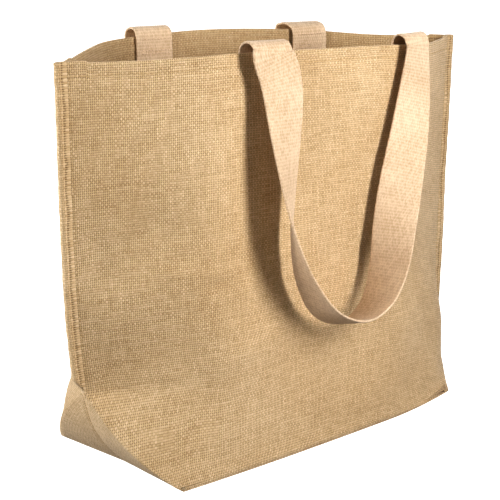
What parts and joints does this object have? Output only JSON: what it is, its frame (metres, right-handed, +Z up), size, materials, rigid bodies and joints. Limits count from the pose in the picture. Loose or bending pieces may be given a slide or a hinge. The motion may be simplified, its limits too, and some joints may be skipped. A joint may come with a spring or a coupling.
{
  "type": "jute tote bag",
  "caption": "Open jute shopping tote standing on a boxed flat base, with pinched side seams, a hemmed rim and webbing handles hanging in loops from the front and back rim.",
  "frame": {"origin": "on the floor under the middle of the bag's overall box", "axes": "+X runs to the right along the front panel, -Y faces the front, +Z is up"},
  "size_m": [0.4564, 0.24, 0.3519],
  "materials": {
    "jute": "plain-woven natural jute, coarse and slubby",
    "webbing": "ribbed undyed cotton webbing"
  },
  "bodies": {
    "root": {"bag_body": "jute", "handle_front": "webbing", "handle_rear": "webbing"}
  },
  "joints": []
}
